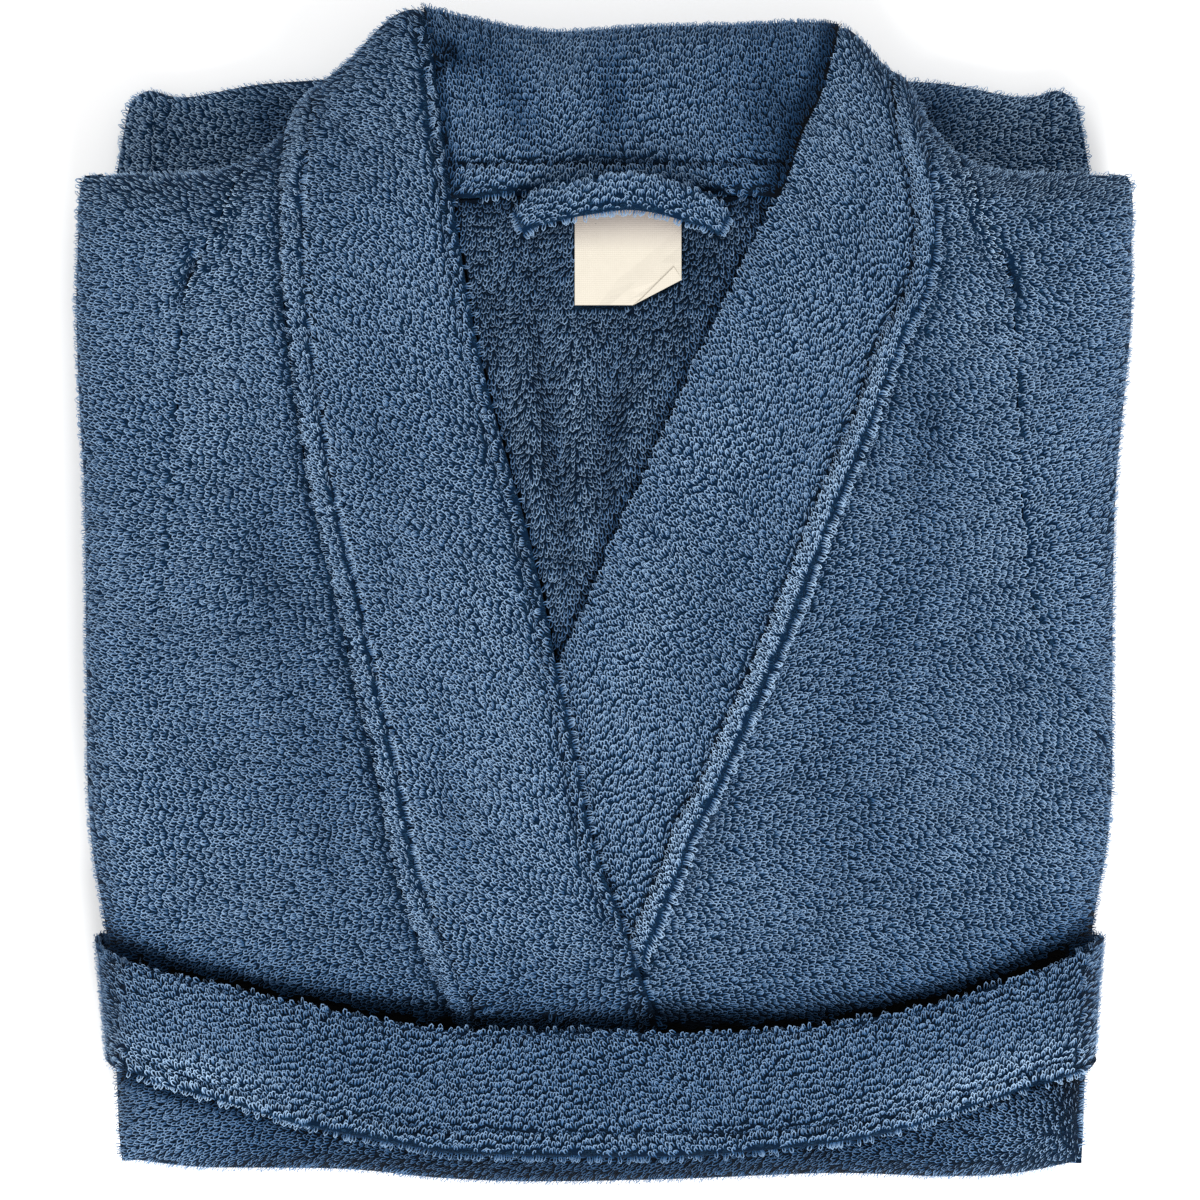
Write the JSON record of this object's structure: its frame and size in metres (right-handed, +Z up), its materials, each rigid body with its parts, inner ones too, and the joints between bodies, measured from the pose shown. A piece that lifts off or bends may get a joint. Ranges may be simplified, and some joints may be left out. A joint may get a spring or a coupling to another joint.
{
  "type": "folded bathrobe",
  "caption": "Folded terry bathrobe with a crossed kimono collar band, hanger loop and label at the neck, held by its own belt, to lie on a shelf, bed or stack of towels.",
  "frame": {"origin": "middle of the pack's bounding box, on the table it lies on", "axes": "+Z up off the table, +Y from the folded skirt toward the neck, +X to the right as seen from above with the neck at the top"},
  "size_m": [0.413, 0.4586, 0.0729],
  "materials": {
    "terry": "uncut cotton terry loops, matt",
    "label_cotton": "plain woven cotton tape, matt"
  },
  "bodies": {
    "root": {"folded_layers": "terry", "skirt_fold": "terry", "front_over": "terry", "front_under": "terry", "sleeve_left": "terry", "sleeve_right": "terry", "collar_over": "terry", "collar_under": "terry", "collar_back": "terry", "back_panel": "terry", "cuff_left": "terry", "cuff_right": "terry", "belt": "terry", "hanger_loop": "terry", "label": "label_cotton"}
  },
  "joints": []
}
